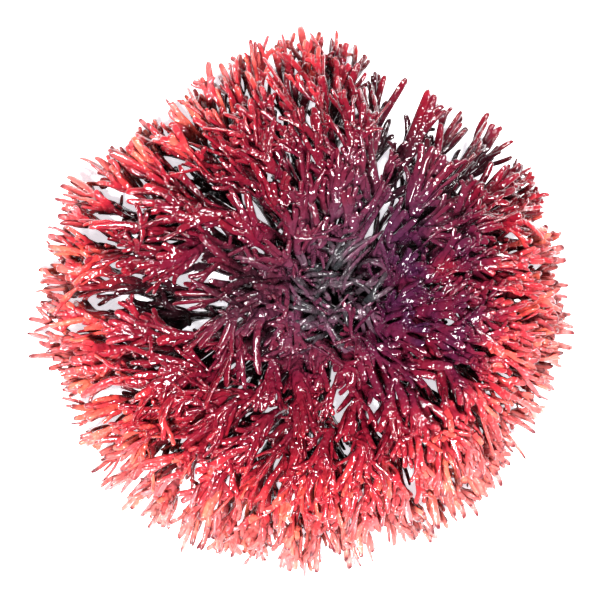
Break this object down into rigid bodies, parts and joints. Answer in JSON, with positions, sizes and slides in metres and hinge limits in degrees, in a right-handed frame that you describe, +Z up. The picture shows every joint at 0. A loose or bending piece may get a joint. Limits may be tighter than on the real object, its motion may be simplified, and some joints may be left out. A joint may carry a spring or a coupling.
{
  "type": "gracilaria macroalgae clump",
  "caption": "Round bushy clump of wet red branching seaweed that rests on the flat cut of its small dark holdfast.",
  "frame": {"origin": "centre of the flat cut under the holdfast, on the surface that the clump rests on", "axes": "+Z up out of the holdfast, +Y towards the top of the picture, +X towards its right"},
  "size_m": [0.0817, 0.0825, 0.0244],
  "materials": {
    "frond": "gloss",
    "holdfast": "satin"
  },
  "bodies": {
    "root": {"holdfast": "holdfast", "outer_frond_01": "frond", "outer_frond_02": "frond", "outer_frond_03": "frond", "outer_frond_04": "frond", "outer_frond_05": "frond", "outer_frond_06": "frond", "outer_frond_07": "frond", "outer_frond_08": "frond", "outer_frond_09": "frond", "outer_frond_10": "frond", "outer_frond_11": "frond", "outer_frond_12": "frond", "outer_frond_13": "frond", "outer_frond_14": "frond", "outer_frond_15": "frond", "outer_frond_16": "frond", "middle_frond_01": "frond", "middle_frond_02": "frond", "middle_frond_03": "frond", "middle_frond_04": "frond", "middle_frond_05": "frond", "middle_frond_06": "frond", "middle_frond_07": "frond", "middle_frond_08": "frond", "middle_frond_09": "frond", "middle_frond_10": "frond", "middle_frond_11": "frond", "inner_frond_01": "frond", "inner_frond_02": "frond", "inner_frond_03": "frond", "inner_frond_04": "frond", "inner_frond_05": "frond", "inner_frond_06": "frond", "inner_frond_07": "frond", "inner_frond_08": "frond", "inner_frond_09": "frond"}
  },
  "joints": []
}
